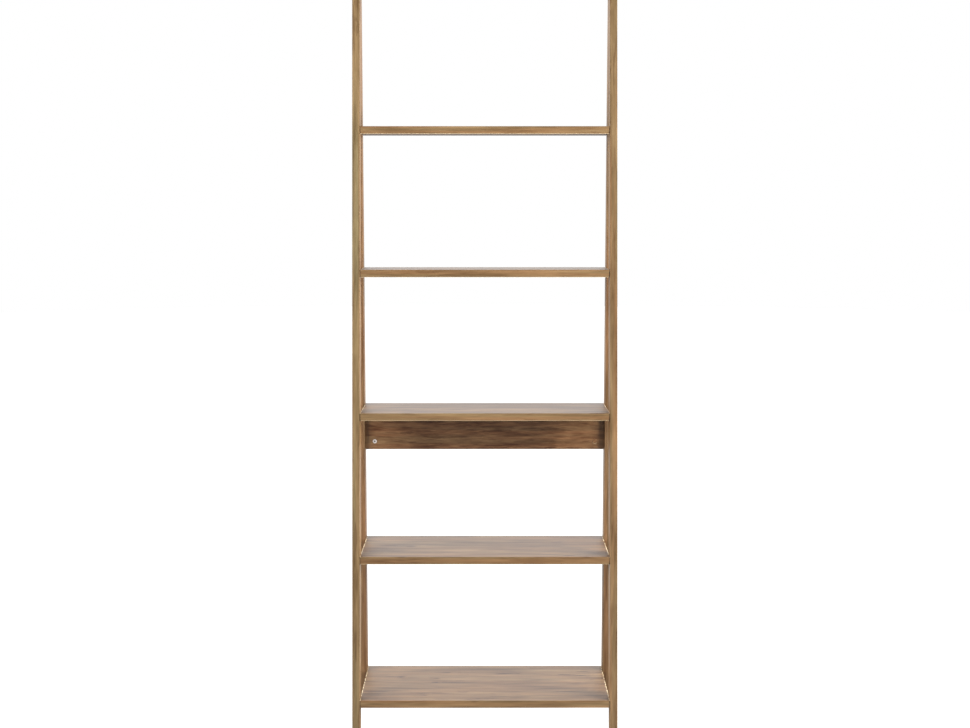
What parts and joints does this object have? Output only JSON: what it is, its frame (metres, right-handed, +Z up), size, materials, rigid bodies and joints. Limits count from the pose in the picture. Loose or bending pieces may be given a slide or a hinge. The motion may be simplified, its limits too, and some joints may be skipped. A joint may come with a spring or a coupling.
{
  "type": "ladder shelf",
  "caption": "Tall narrow open shelving unit with leaning front posts, upright back posts and level shelves that get deeper towards the floor.",
  "frame": {"origin": "on the floor, in the middle of the width and of the depth at the feet", "axes": "+Z up, +X to the right seen from the front, -Y towards the viewer at the front"},
  "size_m": [0.6384, 0.2649, 1.8],
  "materials": {
    "oak_effect_post": "satin",
    "oak_effect_board": "satin",
    "zinc_alloy": "satin",
    "zinc_plated_steel": "satin",
    "beech_dowel": "matte",
    "brown_cap": "matte",
    "nylon_glide": "matte"
  },
  "bodies": {
    "root": {"apex_screws_left": "zinc_plated_steel", "apex_screws_right": "zinc_plated_steel", "back_glide_left": "nylon_glide", "back_glide_right": "nylon_glide", "back_post_left": "oak_effect_post", "back_post_right": "oak_effect_post", "back_rail": "oak_effect_board", "bottom_shelf": "oak_effect_board", "bottom_shelf_caps": "brown_cap", "bottom_shelf_screws": "zinc_plated_steel", "fifth_shelf": "oak_effect_board", "fifth_shelf_caps": "brown_cap", "fifth_shelf_screws": "zinc_plated_steel", "fourth_shelf": "oak_effect_board", "fourth_shelf_caps": "brown_cap", "fourth_shelf_screws": "zinc_plated_steel", "front_glide_left": "nylon_glide", "front_glide_right": "nylon_glide", "front_post_left": "oak_effect_post", "front_post_right": "oak_effect_post", "rail_bolt_left": "zinc_plated_steel", "rail_bolt_right": "zinc_plated_steel", "rail_cam_cover_right": "brown_cap", "rail_cam_left": "zinc_alloy", "rail_cam_right": "zinc_alloy", "rail_dowel_left": "beech_dowel", "rail_dowel_right": "beech_dowel", "second_shelf": "oak_effect_board", "second_shelf_caps": "brown_cap", "second_shelf_screws": "zinc_plated_steel", "third_shelf": "oak_effect_board", "third_shelf_caps": "brown_cap", "third_shelf_screws": "zinc_plated_steel", "top_shelf": "oak_effect_board", "top_shelf_caps": "brown_cap", "top_shelf_screws": "zinc_plated_steel"}
  },
  "joints": []
}
